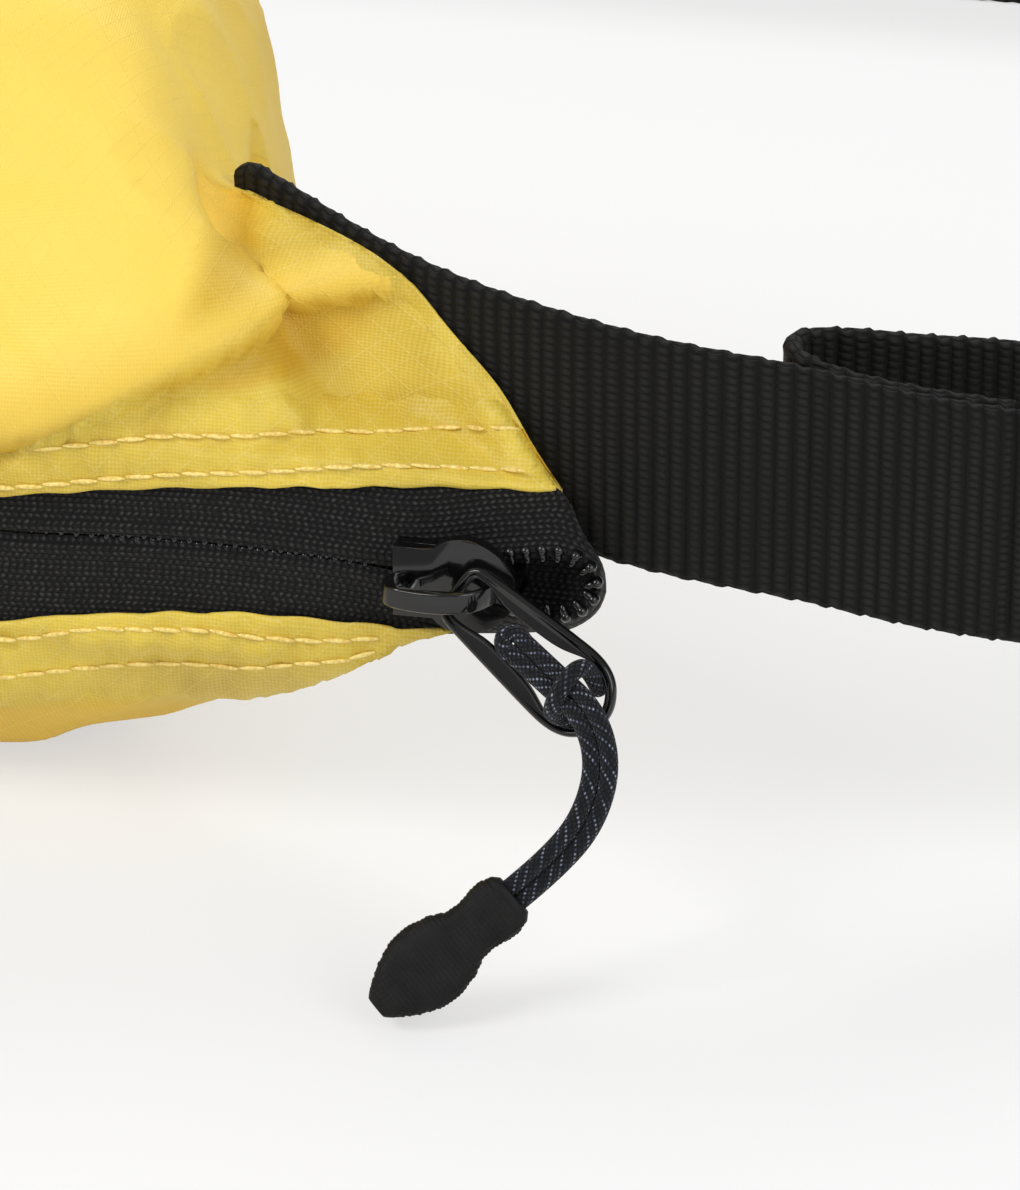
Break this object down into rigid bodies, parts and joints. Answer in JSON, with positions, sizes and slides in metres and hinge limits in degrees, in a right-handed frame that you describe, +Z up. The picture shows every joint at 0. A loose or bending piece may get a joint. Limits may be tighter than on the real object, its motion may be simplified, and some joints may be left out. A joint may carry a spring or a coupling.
{
  "type": "soft zipped waist bag with webbing belt",
  "caption": "Soft fabric bag with a front zipper, a cord zipper pull and a webbing belt that closes with a side-release buckle.",
  "frame": {"origin": "middle of the flat base, under the zipper's middle, level with the surface it stands on", "axes": "+X along the zipper towards the end where it is closed, +Y from the zipper to the back of the bag, +Z up from the base"},
  "size_m": [0.5339, 0.316, 0.1003],
  "materials": {
    "ripstop": "satin",
    "zipper_tape": "matte",
    "coil": "gloss",
    "enamel": "gloss",
    "spring_steel": "satin",
    "cord": "matte",
    "grip_rubber": "matte",
    "webbing": "satin",
    "acetal": "satin",
    "elastic": "matte"
  },
  "bodies": {
    "bag": {"bag_shell": "ripstop", "bag_base": "ripstop", "bag_back": "ripstop", "zip_tape_upper": "zipper_tape", "zip_tape_lower": "zipper_tape", "coil_upper": "coil", "coil_lower": "coil", "belt_short": "webbing", "belt_long": "webbing", "buckle_socket": "acetal"},
    "slider": {"slider_body": "enamel", "slider_bridge": "enamel", "slider_lock": "spring_steel"},
    "ring": {"pull_ring": "enamel"},
    "pull": {"pull_cord": "cord", "cord_end": "grip_rubber"},
    "plug": {"buckle_plug": "acetal"},
    "prong_upper": {"buckle_prong_upper": "acetal"},
    "prong_lower": {"buckle_prong_lower": "acetal"},
    "keeper": {"strap_keeper": "elastic"}
  },
  "joints": [
    {"name": "zip_slide", "type": "slide", "parent": "bag", "child": "slider", "axis": [-1, 0, 0], "range_m": [0, 0.29], "deforming": ["coil_upper", "coil_lower", "pull_cord"]},
    {"name": "ring_flip", "type": "hinge", "parent": "slider", "child": "ring", "pos_m": [0.1514, -0.0443, 0.0356], "axis": [0.5594, 0.2198, 0.7992], "range_deg": [-45, 0]},
    {"name": "pull_swing", "type": "hinge", "parent": "ring", "child": "pull", "pos_m": [0.16681, -0.0494, 0.02621], "axis": [0.5594, 0.2198, 0.7992], "range_deg": [-35, 0]},
    {"name": "buckle_release", "type": "slide", "parent": "bag", "child": "plug", "axis": [0, 1, 0], "range_m": [0, 0.03], "deforming": ["belt_long", "buckle_prong_upper", "buckle_prong_lower"]},
    {"name": "prong_upper_press", "type": "hinge", "parent": "plug", "child": "prong_upper", "pos_m": [0.264, 0.0909, 0.0265], "axis": [1, 0, 0], "range_deg": [0, 8], "stiffness_Nm_per_rad": 0.2},
    {"name": "prong_lower_press", "type": "hinge", "parent": "plug", "child": "prong_lower", "pos_m": [0.264, 0.0909, 0.0075], "axis": [1, 0, 0], "range_deg": [-8, 0], "stiffness_Nm_per_rad": 0.2},
    {"name": "keeper_slide", "type": "slide", "parent": "bag", "child": "keeper", "axis": [0, 1, 0], "range_m": [-0.006, 0.014]}
  ],
  "couplings": [
    {"joint": "prong_lower_press", "follows": "prong_upper_press", "ratio": -1}
  ]
}
